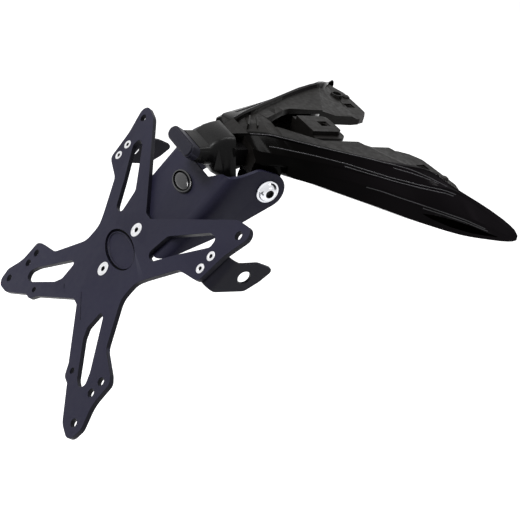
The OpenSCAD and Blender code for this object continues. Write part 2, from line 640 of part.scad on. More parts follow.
// Slots in the right half as [right, up, corner radius]
upper_slot = [[77.5, 66, 4], [68.5, 64.6, 5], [34.5, 37.5, 7], [29.8, 16.5, 4], [39.5, 16.2, 6],
    [56, 34.8, 30], [78.4, 58, 4]];
lower_slot = [[33.5, -38.6, 4], [39.6, -40, 5], [69.7, -69.8, 14], [75, -78, 4], [72, -84, 4], [64, -82, 6],
    [38, -62.2, 8], [33.2, -55, 5]];

// Thin grooves cut beside the lower crotch, as [right, up] end points
grooves = [[[-16.2, -29.4], [-25.8, -55.6]], [[-25.8, -55.6], [-21.7, -57.3]], [[-1.6, -45.5], [20.6, -57.2]]];
groove_w = 0.9;
module groove(a, b) {
    run = b - a;
    translate([-over, -a[0], a[1]]) rotate([atan2(run[1], -run[0]), 0, 0])
        translate([0, 0, -groove_w / 2]) cube([oval_d * 0.6 + over, norm(run), groove_w]);
}

module carrier_holes(r, spots) {
    for (p = spots) for (s = [-1, 1])
        translate([-over, s * p[0], p[1]]) rotate([0, 90, 0]) cylinder(r = r, h = plate_t + 2 * over);
}

module plate_carrier() {
    color(coat_black) on_plate() difference() {
        sheet(rounded(mirrored(carrier_half)), 0, plate_t);
        for (s = [0, 1]) mirror([0, s, 0]) {
            sheet(rounded(upper_slot), -over, plate_t + 2 * over);
            sheet(rounded(lower_slot), -over, plate_t + 2 * over);
        }
        carrier_holes(tip_hole_r, [[tip_hole_u, top_hole_v], [tip_hole_u, -low_hole_v]]);
        carrier_holes(tip_hole_r, [for (v = pair_low_v) [pair_u, -v]]);
        carrier_holes(small_screw_r + 0.4, [[ear_u, -ear_v]]);
        for (s = [-1, 1]) {
            translate([0, 0, s * arm_screw_v])
                countersunk(big_screw_r, big_head_r, plate_t + over, 0, screw_gap * 0.4);
            for (v = pair_top_v) translate([0, s * pair_u, v])
                countersunk(small_screw_r, small_head_r, plate_t + over, 0, screw_gap * 0.4);
        }
        sheet(oval(oval_w, oval_h), -over, oval_d + over);
        for (g = grooves) groove(g[0], g[1]);
    }
}

module arm_screw(s) {
    color(bright_steel) on_plate() translate([0, 0, s * arm_screw_v])
        countersunk(big_screw_r, big_head_r, plate_t + arm_t + 7, 2.3);
}

module arm_nut(s) {
    color(bright_steel) on_plate() translate([plate_t + arm_t, 0, s * arm_screw_v]) hex_nut(10, 5, big_screw_r);
}

// Ear of the bracket as [forward, up], reaching up and forward from the plate
bracket_low = 37;
bracket_high = 63;
module bracket_profile() {
    polygon(rounded([[plate_t - over, bracket_low, 0], [plate_t - over, bracket_high, 0],
        [15, bracket_high + 1, 6], [27, stem_v + 14, 8], [42, stem_v + 16.8, 3.2], [39, stem_v + 3.4, 6],
        [34, stem_v - 8.5, 7], [20, bracket_low + 4, 12], [13, bracket_low, 6]]));
}

module indicator_bracket(s) {
    y1 = ear_face_y;
    color(coat_black) on_plate() mirror([0, s > 0 ? 0 : 1, 0]) difference() {
        intersection() {
            translate([0, 0, 0]) linear_extrude(120) difference() {
                polygon(rounded([[plate_t, y1, bracket_fold_r], [plate_t, pair_u - 7, 0],
                    [60, pair_u - 7, 0], [60, y1, 0]]));
                polygon(rounded([[plate_t + bracket_t, y1 - bracket_t, bracket_fold_r - bracket_t],
                    [plate_t + bracket_t, pair_u - 9, 0], [70, pair_u - 9, 0], [70, y1 - bracket_t, 0]]));
            }
            translate([0, 110, 0]) rotate([90, 0, 0]) linear_extrude(60) bracket_profile();
        }
        for (v = pair_top_v) translate([plate_t - over, pair_u, v]) rotate([0, 90, 0])
            cylinder(r = small_screw_r + screw_gap, h = bracket_t + 2 * over);
        translate([stem_w, 0, stem_v]) across(y1 - bracket_t - over, y1 + over, stem_hole_r);
    }
}

module bracket_screw(s, v) {
    color(bright_steel) on_plate() translate([0, s * pair_u, v])
        countersunk(small_screw_r, small_head_r, plate_t + bracket_t + 4.5, 1.4);
}

module bracket_nut(s, v) {
    color(bright_steel) on_plate() translate([plate_t + bracket_t, s * pair_u, v]) hex_nut(7, 3.2, small_screw_r);
}

// Pivot hardware, on the left side for s = 1

module pivot_bolt(s) {
    head = cheek_out + swing_gap;
    color(bright_steel) translate([pivot_x, 0, pivot_z]) rotate([s > 0 ? -90 : 90, 0, 0]) translate([0, 0, head])
        difference() {
            union() {
                translate([0, 0, -pivot_len]) cylinder(r = pivot_r, h = pivot_len + 1);
                cylinder(r = pivot_flange_r, h = 1.2);
                translate([0, 0, 1.2]) rotate_extrude() polygon(concat([[0, 0]],
                    [for (a = [0 : 15 : 90]) [pivot_flange_r * 0.80 * cos(a), 3.6 * sin(a)]]));
            }
            translate([0, 0, 1.6]) cylinder(r = 2.9, h = 6, $fn = 6);
        }
}

module pivot_washer(s) {
    color(satin_black) translate([pivot_x, 0, pivot_z]) rotate([s > 0 ? -90 : 90, 0, 0])
        translate([0, 0, boss_face]) difference() {
            cylinder(r = boss_r - 1, h = washer_t);
            translate([0, 0, -over]) cylinder(r = pivot_r + 0.2, h = washer_t + 2 * over);
        }
}

module pivot_insert(s) {
    color(brass_tone) translate([pivot_x, 0, pivot_z]) rotate([s > 0 ? -90 : 90, 0, 0])
        translate([0, 0, boss_face - insert_len]) difference() {
            cylinder(r = insert_r, h = insert_len);
            translate([0, 0, -over]) cylinder(r = pivot_r + thread_gap, h = insert_len + 2 * over);
        }
}

undertail_shell();
light_housing();
light_body();
light_lens();
light_board();
housing_screw(-1);  // housing_screw_right
housing_screw(1);  // housing_screw_left
arm_bracket();
arm_badge();
plate_carrier();
arm_screw(1);  // arm_screw_upper
arm_screw(-1);  // arm_screw_lower
arm_nut(1);  // arm_nut_upper
arm_nut(-1);  // arm_nut_lower
indicator_bracket(-1);  // indicator_bracket_right
indicator_bracket(1);  // indicator_bracket_left
bracket_screw(-1, pair_top_v[1]);  // bracket_screw_right_upper
bracket_screw(-1, pair_top_v[0]);  // bracket_screw_right_lower
bracket_screw(1, pair_top_v[1]);  // bracket_screw_left_upper
bracket_screw(1, pair_top_v[0]);  // bracket_screw_left_lower
bracket_nut(-1, pair_top_v[1]);  // bracket_nut_right_upper
bracket_nut(-1, pair_top_v[0]);  // bracket_nut_right_lower
bracket_nut(1, pair_top_v[1]);  // bracket_nut_left_upper
bracket_nut(1, pair_top_v[0]);  // bracket_nut_left_lower
pivot_bolt(-1);  // pivot_bolt_right
pivot_bolt(1);  // pivot_bolt_left
pivot_washer(-1);  // pivot_washer_right
pivot_washer(1);  // pivot_washer_left
pivot_insert(-1);  // pivot_insert_right
pivot_insert(1);  // pivot_insert_left
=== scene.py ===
import math

import bmesh
import bpy
from mathutils import Matrix, Vector


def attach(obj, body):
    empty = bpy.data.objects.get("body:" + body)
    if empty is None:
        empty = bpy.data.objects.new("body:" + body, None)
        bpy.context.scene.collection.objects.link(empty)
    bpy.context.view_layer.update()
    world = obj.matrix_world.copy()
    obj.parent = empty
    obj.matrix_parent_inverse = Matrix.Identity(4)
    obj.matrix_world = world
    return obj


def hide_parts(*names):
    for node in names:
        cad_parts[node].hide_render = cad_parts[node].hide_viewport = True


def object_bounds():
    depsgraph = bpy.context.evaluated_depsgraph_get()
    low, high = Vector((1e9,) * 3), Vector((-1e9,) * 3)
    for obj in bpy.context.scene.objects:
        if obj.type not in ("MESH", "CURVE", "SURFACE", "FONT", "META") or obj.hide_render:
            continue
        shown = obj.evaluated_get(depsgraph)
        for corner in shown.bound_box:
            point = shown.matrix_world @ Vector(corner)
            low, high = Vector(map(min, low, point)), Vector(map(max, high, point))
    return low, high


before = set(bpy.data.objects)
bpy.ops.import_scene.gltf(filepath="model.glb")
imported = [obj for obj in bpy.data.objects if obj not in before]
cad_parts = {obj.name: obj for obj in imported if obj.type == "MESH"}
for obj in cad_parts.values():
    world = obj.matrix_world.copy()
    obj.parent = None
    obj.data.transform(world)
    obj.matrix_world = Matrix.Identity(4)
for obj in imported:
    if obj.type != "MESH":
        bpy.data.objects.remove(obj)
CAD_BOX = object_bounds()
MM = 0.001

# Place of the camera, in metres, and its lens
CAMERA_AT = Vector((-0.4764, -0.5737, 0.2717))
CAMERA_RIGHT = Vector((0.870, -0.436, 0.231))
CAMERA_UP = Vector((0.046, 0.538, 0.842))
LENS_MM = 65.77
SENSOR_MM = 36.0

# The floor's distance under the lowest point and its half side, in metres, and its own glow
FLOOR_DROP = 0.30
FLOOR_HALF = 6.0
FLOOR_GLOW = 0.75
SKY_LIGHT = 0.22
# Lamps as name, place, width, depth and watts, all aimed at one point, in metres
AIM = Vector((-0.08, 0.0, -0.06))
LAMPS = (
    ("key", (-1.2, 0.5, 1.2), 0.9, 0.35, 19.0),
    ("top", (0.2, 0.3, 1.6), 1.0, 0.3, 12.0),
    ("side", (0.6, -1.4, 0.5), 0.6, 0.3, 1.0),
)

# Values that the pieces share with the solids, in millimetres
PIVOT = Vector((-124.6, 0.0, -27.0))
LEAN = math.radians(32)
PLATE_T = 4.0
PIVOT_V = 108.6
PIVOT_W = 37.0
PIVOT_SEAT = 42.05
BADGE_V = 71.0
BADGE_HALF_W = 14.0
BADGE_HALF_H = 7.5
RECESS_DEEP = 0.8
ARM_SCREW_V = 20
EAR_SCREW_Y = 85.5
EAR_SCREW_V = (43.3, 54.8)

# Values of the pieces alone, in millimetres: the oval in which the floor of the carrier's recess is looked
# for, the chamfer and the point of a hexagon socket, and the beads along the shell's creases
RECESS_HALF_W = 24
RECESS_HALF_H = 12
SOCKET_CHAMFER = 0.25
SOCKET_POINT = 0.5
CREASE_RADIUS = 0.42
CREASE_STEP = 3

# Where the shell's finishes change, in millimetres: the deck and its edges, painted lighter as highlights,
# begin this far inside the ridge, the lugs lie in front of LUG_REAR and inside LUG_OUT, and the crescent,
# painted black as shade, runs along CRESCENT_X, sunk by CRESCENT_SUNK under the side
DECK_INSET = 3.2
EDGE_INSET = 2.6
LUG_REAR = -20
LUG_OUT = 103
CRESCENT_X = (-24, 23)
CRESCENT_SUNK = (-1.6, -0.12)

# Lines along the shell's side as [forward, out, up]
RIDGE = (
    (-145, 7.5, 3), (-137, 12, 5.6), (-120.6, 21, 9.1), (-85.6, 44, 10), (-47.6, 68, 11),
    (-25.6, 78, 12.1), (-16.6, 80.5, 11.4), (2.4, 100, 4.5), (20.4, 121, -1.5), (33.4, 136, -8.5),
    (36.4, 139, -12.5),
)
SHOULDER = (
    (-137, 31.3, 0.6), (-120.6, 39, 1), (-85.6, 56, 2), (-53.6, 72, 2.5), (-28.6, 87, 3.5),
    (-9.6, 98, 5), (2.4, 103, 2.7), (20.4, 124, -4.5), (33.4, 137.5, -11.5), (36.4, 139.3, -13.1),
)
WAIST = (
    (-137, 38.5, -6.1), (-117.6, 41, -6.5), (-85.6, 62, -6.1), (-53.6, 81, -6.1), (-28.6, 98, -7.5),
    (2.4, 118.5, -10), (20.4, 130, -13.5), (33.4, 138.4, -15), (36.4, 139.6, -14.9),
)
HEM = (
    (-137, 37.4, -8.5), (-117.6, 37.8, -8.7), (-112.7, 37.8, -8.9), (-112.5, 44, -13), (-107.6, 47, -14),
    (-96.6, 56, -13.5), (-85.6, 62.6, -15), (-53.6, 83, -18.5), (-28.6, 99, -21.5), (0.4, 117, -23.5),
    (20.4, 130.4, -21), (33.4, 138.6, -18), (36.4, 139.8, -16.3),
)

# Raised creases as [forward, share of the way down: 0 ridge, 1 shoulder, 2 waist, 3 hem]
CREASES = (
    ((-134, 0.02), (-93, 0.03), (-56, 0.02), (-43, 0.06), (-30, 0.2), (-17, 0.5), (-5, 0.75)),
    ((-125, 0.62), (-95, 0.62), (-74, 0.7), (-45, 0.99), (-24, 1.06), (-2, 1.1)),
    ((-76, 0.88), (-60, 1.04), (-45, 1.15), (-24, 1.2), (-4, 1.2)),
    ((-42, 0.3), (-30, 0.42), (-17, 0.66), (-6, 0.88)),
    ((-63, 1.96), (-43, 2.02), (-21, 2.03), (0, 2.04), (15, 2.1)),
    ((-26, 2.18), (-13, 2.16), (3, 2.17), (17, 2.22)),
)


def make_camera():
    """Camera at the photograph's place, looking the way it looked."""
    data = bpy.data.cameras.new("camera")
    data.lens = LENS_MM
    data.sensor_width = SENSOR_MM
    data.clip_start = 0.01
    data.clip_end = 50.0
    camera = bpy.data.objects.new("camera", data)
    bpy.context.scene.collection.objects.link(camera)
    right = CAMERA_RIGHT.normalized()
    up = (CAMERA_UP - right * CAMERA_UP.dot(right)).normalized()
    back = right.cross(up)
    turn = Matrix((right, up, back)).transposed().to_4x4()
    camera.matrix_world = Matrix.Translation(CAMERA_AT) @ turn
    bpy.context.scene.camera = camera


def link(name, mesh):
    """New object of the scene with this mesh or curve."""
    piece = bpy.data.objects.new(name, mesh)
    bpy.context.scene.collection.objects.link(piece)
    return piece


# Materials

class Paint:
    """A node material with short calls for its links."""

    def __init__(self, name):
        self.mat = bpy.data.materials.new(name)
        self.mat.use_nodes = True
        self.tree = self.mat.node_tree
        self.nodes = self.tree.nodes
        self.bsdf = self.nodes["Principled BSDF"]
        self.where = self.nodes.new("ShaderNodeTexCoord").outputs["Object"]

    def join(self, out, socket):
        self.tree.links.new(out, socket)

    def noise(self, scale, detail, rough=0.5):
        node = self.nodes.new("ShaderNodeTexNoise")
        node.inputs["Scale"].default_value = scale
        node.inputs["Detail"].default_value = detail
        node.inputs["Roughness"].default_value = rough
        self.join(self.where, node.inputs["Vector"])
        return node.outputs["Fac"]

    def ramp(self, fac, low, high, a=0.35, b=0.65):
        """A value or colour that runs from low to high as fac goes from a to b."""
        node = self.nodes.new("ShaderNodeValToRGB")
        node.color_ramp.elements[0].position = a
        node.color_ramp.elements[1].position = b
        for element, value in zip(node.color_ramp.elements, (low, high)):
            colour = value if isinstance(value, tuple) else (value,) * 3
            element.color = (*colour, 1.0)
        self.join(fac, node.inputs["Fac"])
        return node.outputs["Color"]

    def mix(self, fac, a, b, kind="MIX"):
        node = self.nodes.new("ShaderNodeMix")
        node.data_type = "RGBA"
        node.blend_type = kind
        for socket, value in ((node.inputs["Factor"], fac), (node.inputs[6], a), (node.inputs[7], b)):
            if isinstance(value, (int, float)):
                socket.default_value = value
            elif isinstance(value, tuple):
                socket.default_value = (*value, 1.0)
            else:
                self.join(value, socket)
        return node.outputs[2]

    def bump(self, height, strength):
        """Fine relief, a tenth of a millimetre deep at full strength."""
        node = self.nodes.new("ShaderNodeBump")
        node.inputs["Strength"].default_value = strength
        node.inputs["Distance"].default_value = 0.1 * MM
        self.join(height, node.inputs["Height"])
        self.join(node.outputs["Normal"], self.bsdf.inputs["Normal"])

    def set(self, **values):
        names = {
            "metal": "Metallic",
            "specular": "Specular IOR Level",
            "ior": "IOR",
            "transmission": "Transmission Weight",
        }
        for key, value in values.items():
            self.bsdf.inputs[names[key]].default_value = value

    def painted_edge_highlight(self):
        """1 along outward edges, 0 on flat faces: where a painted highlight goes."""
        geometry = self.nodes.new("ShaderNodeNewGeometry")
        return self.ramp(geometry.outputs["Pointiness"], 0.0, 1.0, 0.53, 0.62)

    def colour(self, out):
        self.join(out, self.bsdf.inputs["Base Color"])

    def roughness(self, out):
        self.join(out, self.bsdf.inputs["Roughness"])


def gloss_shell():
    """Gloss black of the wings' sides, with painted shade darkest at the rear and a painted sheen lighter
    toward the tips.
    """
    p = Paint("moulded_gloss")
    split = p.nodes.new("ShaderNodeSeparateXYZ")
    p.join(p.where, split.inputs["Vector"])
    # Along x the colour runs from painted shade at the rear to a painted sheen toward the tips
    shade_to_sheen = p.nodes.new("ShaderNodeMapRange")
    shade_to_sheen.inputs["From Min"].default_value = -0.105
    shade_to_sheen.inputs["From Max"].default_value = 0.03
    p.join(split.outputs["X"], shade_to_sheen.inputs["Value"])
    flow = p.noise(14, 4)
    rear = p.ramp(flow, (0.0010, 0.0008, 0.0007), (0.0020, 0.0017, 0.0016))
    front = p.ramp(flow, (0.0085, 0.0070, 0.0085), (0.0135, 0.0112, 0.0135))
    colour = p.mix(shade_to_sheen.outputs["Result"], rear, front)
    p.colour(colour)
    smear = p.noise(60, 6, 0.6)
    p.roughness(p.ramp(smear, 0.13, 0.2, 0.3, 0.75))
    p.bump(p.noise(420, 2), 0.06)
    p.set(specular=0.02)
    return p.mat


def satin_deck():
    """Warm black, finely grained finish of the deck and the lugs."""
    p = Paint("moulded_satin")
    colour = p.ramp(p.noise(30, 5), (0.0030, 0.0025, 0.0022), (0.0068, 0.0060, 0.0054))
    p.colour(colour)
    p.roughness(p.ramp(p.noise(240, 4), 0.42, 0.55))
    p.bump(p.noise(1100, 2), 0.05)
    p.set(specular=0.12)
    return p.mat


def recess_shade():
    """Deepest black, painted shade in the pressed recess in each side and on the wings' inward faces."""
    p = Paint("recess_shade")
    p.colour(p.ramp(p.noise(60, 4), (0.0006, 0.0005, 0.0005), (0.0014, 0.0011, 0.0009)))
    p.roughness(p.ramp(p.noise(200, 4), 0.3, 0.4))
    p.set(specular=0.0)
    return p.mat


def painted_highlight_edge(name, dark, light, shine):
    """Lighter colour on the moulding's edges, a painted highlight where they would catch the light."""
    p = Paint(name)
    colour = p.ramp(p.noise(70, 5), dark, light, 0.3, 0.7)
    p.colour(colour)
    p.roughness(p.ramp(p.noise(300, 4), 0.2, 0.32))
    p.set(specular=shine)
    return p.mat


def satin_neck():
    """Smooth satin black of the moulded neck."""
    p = Paint("neck_satin")
    colour = p.ramp(p.noise(40, 4), (0.0028, 0.0027, 0.0028), (0.0055, 0.0053, 0.0056))
    p.colour(colour)
    p.roughness(p.ramp(p.noise(300, 4), 0.26, 0.36))
    p.bump(p.noise(2200, 2), 0.12)
    p.set(specular=0.12)
    return p.mat


def satin_coat(name="coated_sheet", lift=1.0, blue=1.0):
    """Blue-black satin coat of the folded and cut sheet, with a painted highlight on its outward edges."""
    p = Paint(name)
    broad = p.noise(9, 3)
    low, high = 0.0105 * lift, 0.014 * lift
    colour = p.ramp(broad, (low, low * 0.93, low * 2.38 * blue), (high, high * 0.94, high * 2.36 * blue))
    fine = p.ramp(p.noise(1500, 2), (0.93, 0.93, 0.93), (1.0, 1.0, 1.0))
    colour = p.mix(1.0, colour, fine, "MULTIPLY")
    # Outward edges lighter, as painted highlight
    colour = p.mix(p.painted_edge_highlight(), colour, (0.03, 0.03, 0.05))
    p.colour(colour)
    p.roughness(p.ramp(p.noise(170, 4), 0.4, 0.5))
    p.bump(p.noise(3200, 2), 0.22)
    p.set(specular=0.14)
    return p.mat


def bright_zinc():
    """Bright plating of the screws and nuts."""
    p = Paint("bright_screw")
    colour = p.ramp(p.noise(500, 4), (0.72, 0.72, 0.74), (0.86, 0.86, 0.88))
    p.colour(colour)
    p.roughness(p.ramp(p.noise(1400, 4), 0.22, 0.36))
    p.bump(p.noise(3000, 2), 0.05)
    p.set(metal=1.0)
    return p.mat


def socket_dark():
    """Shaded steel inside the hexagon sockets."""
    p = Paint("socket_shade")
    colour = p.ramp(p.noise(900, 3), (0.02, 0.02, 0.022), (0.05, 0.05, 0.055))
    p.colour(colour)
    p.roughness(p.ramp(p.noise(1200, 3), 0.35, 0.5))
    p.set(metal=0.7)
    return p.mat


def polished_steel():
    """Polished steel of the pivot bolts' heads."""
    p = Paint("polished_bolt")
    colour = p.ramp(p.noise(90, 3), (0.62, 0.63, 0.67), (0.78, 0.79, 0.82))
    p.colour(colour)
    p.roughness(p.ramp(p.noise(700, 5), 0.08, 0.16))
    p.bump(p.noise(900, 2), 0.04)
    p.set(metal=1.0)
    return p.mat


def dark_dome(name, lift, shine):
    """Dark lacquer of the badge's dome, and a darker copy as painted shade in its groove and the carrier's
    groove.
    """
    p = Paint(name)
    low, high = 0.0025 * lift, 0.005 * lift
    colour = p.ramp(p.noise(120, 3), (low, low, low * 1.2), (high, high, high * 1.2))
    p.colour(colour)
    p.roughness(p.ramp(p.noise(500, 3), 0.16, 0.24))
    p.set(specular=shine)
    return p.mat


def clear_lens():
    """Clear plastic of the plate light's lens."""
    p = Paint("lens_clear")
    p.colour(p.ramp(p.noise(60, 2), (0.92, 0.94, 0.97), (1.0, 1.0, 1.0)))
    p.roughness(p.ramp(p.noise(400, 3), 0.04, 0.1))
    p.set(transmission=0.9, ior=1.5)
    return p.mat


def lamp_board():
    """Green lacquer of the lamp board."""
    p = Paint("lamp_board")
    p.colour(p.ramp(p.noise(300, 3), (0.02, 0.09, 0.045), (0.03, 0.13, 0.06)))
    p.roughness(p.ramp(p.noise(900, 3), 0.35, 0.55))
    return p.mat


def black_nylon():
    """Black nylon of the pivot's washers."""
    p = Paint("black_nylon")
    p.colour(p.ramp(p.noise(80, 3), (0.012, 0.012, 0.012), (0.02, 0.02, 0.02)))
    p.roughness(p.ramp(p.noise(600, 3), 0.5, 0.65))
    return p.mat


def insert_brass():
    """Brass of the threaded inserts."""
    p = Paint("insert_brass")
    p.colour(p.ramp(p.noise(200, 3), (0.6, 0.44, 0.2), (0.72, 0.55, 0.28)))
    p.roughness(p.ramp(p.noise(900, 3), 0.25, 0.4))
    p.set(metal=1.0)
    return p.mat


# Shapes

def smoothed(mesh, angle):
    """Shades a mesh smooth, with edges over this angle kept sharp."""
    for face in mesh.polygons:
        face.use_smooth = True
    mesh.set_sharp_from_angle(angle=math.radians(angle))


def baked(piece):
    """The piece with its modifiers turned into plain mesh."""
    graph = bpy.context.evaluated_depsgraph_get()
    mesh = bpy.data.meshes.new_from_object(piece.evaluated_get(graph))
    old = piece.data
    piece.modifiers.clear()
    piece.data = mesh
    bpy.data.meshes.remove(old)
    mesh.name = piece.name


def merged(node):
    """A copy of a solid's mesh with its loose triangles joined into whole faces."""
    same_point, same_plane = 0.002 * MM, math.radians(0.4)
    bm = bmesh.new()
    bm.from_mesh(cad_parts[node].data)
    bmesh.ops.remove_doubles(bm, verts=bm.verts, dist=same_point)
    bmesh.ops.dissolve_limit(bm, angle_limit=same_plane, verts=bm.verts, edges=bm.edges)
    return bm


def finished(bm, name, bevel, angle, soft, keep=None, edge_slot=-1):
    """The piece made from bm. Edges over angle get a bevel, all of them or as keep weighs them."""
    if keep:
        weight = bm.edges.layers.float.new("bevel_weight_edge")
        for edge in bm.edges:
            if edge.is_manifold and edge.calc_face_angle_signed(0) > math.radians(angle):
                edge[weight] = keep(edge)
    mesh = bpy.data.meshes.new(name)
    bm.to_mesh(mesh)
    bm.free()
    piece = link(name, mesh)
    smoothed(mesh, soft)
    edge = piece.modifiers.new("edge", "BEVEL")
    edge.width = bevel * MM
    edge.segments = 2
    edge.limit_method = "WEIGHT" if keep else "ANGLE"
    edge.angle_limit = math.radians(angle)
    edge.harden_normals = True
    edge.material = edge_slot
    if keep:
        flat = piece.modifiers.new("flat", "WEIGHTED_NORMAL")
        flat.keep_sharp = True
        flat.weight = 100
    return piece


def solid_copy(node, name, bevel, angle, soft):
    """A finished piece with a solid's own shape."""
    piece = finished(merged(node), name, bevel, angle, soft)
    baked(piece)
    return piece


def seat(piece, body, slot, material, *nodes):
    """Puts a finished piece on its body, with its material and the solids it stands for."""
    if not piece.data.materials:
        piece.data.materials.append(material)
    if nodes:
        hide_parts(*nodes)
    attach(piece, body)


def revolved(profile, steps):
    """A turned shape about +Z from [radius, height] points in millimetres, the first of them on the axis."""
    bm = bmesh.new()
    rings = []
    for radius, height in profile:
        if radius == 0:
            rings.append([bm.verts.new((0, 0, height * MM))])
            continue
        rings.append([bm.verts.new((radius * MM * math.cos(a), radius * MM * math.sin(a), height * MM))
                      for a in (2 * math.pi * i / steps for i in range(steps))])
    for low, high in zip(rings, rings[1:]):
        for i in range(steps):
            j = (i + 1) % steps
            if len(low) == 1:
                bm.faces.new((low[0], high[i], high[j]))
            else:
                bm.faces.new((low[i], high[i], high[j], low[j]))
    return bm


def plate_frame():
    """The plate's frame: x forward from its rear face, y left, z up along it, in metres."""
    return (Matrix.Translation(PIVOT * MM) @ Matrix.Rotation(LEAN, 4, "Y")
            @ Matrix.Translation(Vector((-PIVOT_W, 0, -PIVOT_V)) * MM))


def stage_and_light():
    """White floor that keeps the object's shadow, a pale world and three soft lamps."""
    world = bpy.data.worlds.new("studio")
    bpy.context.scene.world = world
    world.use_nodes = True
    tree = world.node_tree
    sky = tree.nodes["Background"]
    white = tree.nodes.new("ShaderNodeBackground")
    sky.inputs["Color"].default_value = (1, 1, 1, 1)
    sky.inputs["Strength"].default_value = SKY_LIGHT
    white.inputs["Strength"].default_value = 1.0
    white.inputs["Color"].default_value = (1, 1, 1, 1)
    both = tree.nodes.new("ShaderNodeMixShader")
    tree.links.new(seen_rays(tree), both.inputs["Fac"])
    tree.links.new(sky.outputs[0], both.inputs[1])
    tree.links.new(white.outputs[0], both.inputs[2])
    tree.links.new(both.outputs[0], tree.nodes["World Output"].inputs["Surface"])

    mesh = bpy.data.meshes.new("floor")
    corners = [(x * FLOOR_HALF, y * FLOOR_HALF, 0) for x, y in ((-1, -1), (1, -1), (1, 1), (-1, 1))]
    mesh.from_pydata(corners, [], [(0, 1, 2, 3)])
    floor = link("floor", mesh)
    floor.location.z = CAD_BOX[0].z - FLOOR_DROP
    mat = bpy.data.materials.new("floor_white")
    mat.use_nodes = True
    tree = mat.node_tree
    base = tree.nodes["Principled BSDF"]
    base.inputs["Base Color"].default_value = (0.9, 0.9, 0.9, 1)
    base.inputs["Roughness"].default_value = 0.9
    glow = tree.nodes.new("ShaderNodeEmission")
    glow.inputs["Strength"].default_value = FLOOR_GLOW
    total = tree.nodes.new("ShaderNodeAddShader")
    both = tree.nodes.new("ShaderNodeMixShader")
    tree.links.new(base.outputs[0], total.inputs[0])
    tree.links.new(glow.outputs[0], total.inputs[1])
    tree.links.new(seen_rays(tree), both.inputs["Fac"])
    tree.links.new(base.outputs[0], both.inputs[1])
    tree.links.new(total.outputs[0], both.inputs[2])
    tree.links.new(both.outputs[0], tree.nodes["Material Output"].inputs["Surface"])
    mesh.materials.append(mat)

    for name, place, width, depth, watts in LAMPS:
        lamp = bpy.data.lights.new(name, "AREA")
        lamp.energy = watts
        lamp.shape = "RECTANGLE"
        lamp.size = width
        lamp.size_y = depth
        source = bpy.data.objects.new(name, lamp)
        bpy.context.scene.collection.objects.link(source)
        source.location = place
        source.rotation_euler = (AIM - Vector(place)).to_track_quat("-Z", "Y").to_euler()


def seen_rays(tree):
    """1 for the rays that show the background, 0 for those that light the object."""
    path = tree.nodes.new("ShaderNodeLightPath")
    first = tree.nodes.new("ShaderNodeMath")
    first.operation = "MAXIMUM"
    second = tree.nodes.new("ShaderNodeMath")
    second.operation = "MAXIMUM"
    tree.links.new(path.outputs["Is Camera Ray"], first.inputs[0])
    tree.links.new(path.outputs["Is Glossy Ray"], first.inputs[1])
    tree.links.new(first.outputs[0], second.inputs[0])
    tree.links.new(path.outputs["Is Transmission Ray"], second.inputs[1])
    return second.outputs[0]


def level(line, x, k):
    """Value k of a line of points at x, straight between its points."""
    for low, high in zip(line, line[1:]):
        if x <= high[0]:
            t = max(0.0, (x - low[0]) / (high[0] - low[0]))
            return low[k] + (high[k] - low[k]) * t
    return line[-1][k]


def side_out(x, z):
    """How far out the shell's outer side lies at x and height z."""
    rows = [(level(line, x, 2), level(line, x, 1)) for line in (HEM, WAIST, SHOULDER, RIDGE)]
    for low, high in zip(rows, rows[1:]):
        if z <= high[0]:
            t = max(0.0, (z - low[0]) / max(0.1, high[0] - low[0]))
            return low[1] + (high[1] - low[1]) * t
    return rows[-1][1]


def shell_edge(edge):
    """1 for the edges of deck, lugs and bosses, 0 for the sides and the thin walls along the gap."""
    mid = (edge.verts[0].co + edge.verts[1].co) / (2 * MM)
    inside = abs(mid.y) < level(RIDGE, mid.x, 1) - EDGE_INSET
    on_lug = mid.x > LUG_REAR and abs(mid.y) < LUG_OUT and -4 < mid.z < 4
    if edge.calc_length() < 1.2 * MM or mid.z < -7:
        return 0.0
    return 1.0 if inside and (mid.x < LUG_REAR or on_lug) else 0.0


def shell_pieces():
    """The moulded shell: gloss sides, satin deck and lugs, bevelled edges painted lighter as highlights, and
    painted shade as a black crescent low on each side and on the wings' inward faces.
    """
    bm = merged("undertail_shell")
    for v in bm.verts:
        x, y, z = v.co / MM
        # The deck's front lip ends in a flat underside
        if -9 < x < -5 and abs(y) < 33 and z < -4:
            v.co.z = -3.4 * MM
    # Bevel faces take slot 1, a lighter gloss as painted highlight, or the lighter satin once moved to the
    # deck
    piece = finished(bm, "shell_moulding", bevel=0.4, angle=18, soft=24, keep=shell_edge, edge_slot=1)
    for material in (GLOSS, GLOSS_HIGHLIGHT, DECK, DECK_HIGHLIGHT, RECESS_SHADE):
        piece.data.materials.append(material)
    baked(piece)
    to_deck, recess = 2, 4
    # Faces inside the ridge move to the deck; the crescent and the inward faces of the wings' front take the
    # deepest black as painted shade
    for face in piece.data.polygons:
        c = face.center / MM
        along = CRESCENT_X[0] < c.x < CRESCENT_X[1]
        low_down = c.z < level(WAIST, c.x, 2) - 1
        sunk = CRESCENT_SUNK[0] < abs(c.y) - side_out(c.x, c.z) < CRESCENT_SUNK[1]
        if abs(c.y) < level(RIDGE, c.x, 1) - DECK_INSET:
            face.material_index += to_deck
        elif along and low_down and sunk:
            face.material_index = recess
        elif c.x > 0 and face.normal.y * c.y < -0.3 * abs(c.y):
            face.material_index = recess
    seat(piece, "tail", "shell_gloss", GLOSS, "undertail_shell")


def side_point(x, f, side):
    """Point on the shell's side at x: f is 0 on the ridge, 1 shoulder, 2 waist, 3 hem."""
    lines = (RIDGE, SHOULDER, WAIST, HEM)
    i = min(2, int(f))
    t = f - i
    out, up = (level(lines[i], x, k) * (1 - t) + level(lines[i + 1], x, k) * t for k in (1, 2))
    return Vector((x, side * out, up)) * MM


